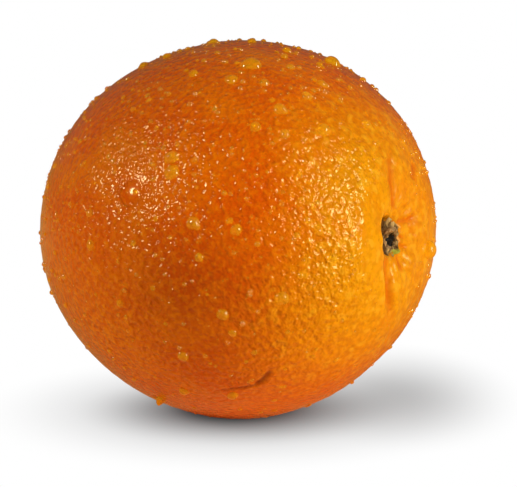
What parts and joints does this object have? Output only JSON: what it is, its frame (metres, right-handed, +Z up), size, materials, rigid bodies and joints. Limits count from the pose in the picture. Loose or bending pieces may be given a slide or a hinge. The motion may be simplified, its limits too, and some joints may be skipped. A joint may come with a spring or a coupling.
{
  "type": "orange",
  "caption": "Whole ripe orange lying on its side on a small flat, with a pitted stem end that holds a calyx and a broken stem stub.",
  "frame": {"origin": "on the surface that the fruit rests on, under the middle of its box", "axes": "+X along the fruit towards its stem end, which is tipped up by 6 degrees, +Z up"},
  "size_m": [0.0796, 0.0774, 0.0747],
  "materials": {
    "peel": "wet, pebbled citrus peel with fine pores",
    "calyx": "dry grey-tan sepals with some green left",
    "stem": "dry broken stem, dark in its pit",
    "water": "clear drops of water on the peel"
  },
  "bodies": {
    "root": {"fruit": "peel", "calyx": "calyx", "stem_stub": "stem"}
  },
  "joints": []
}
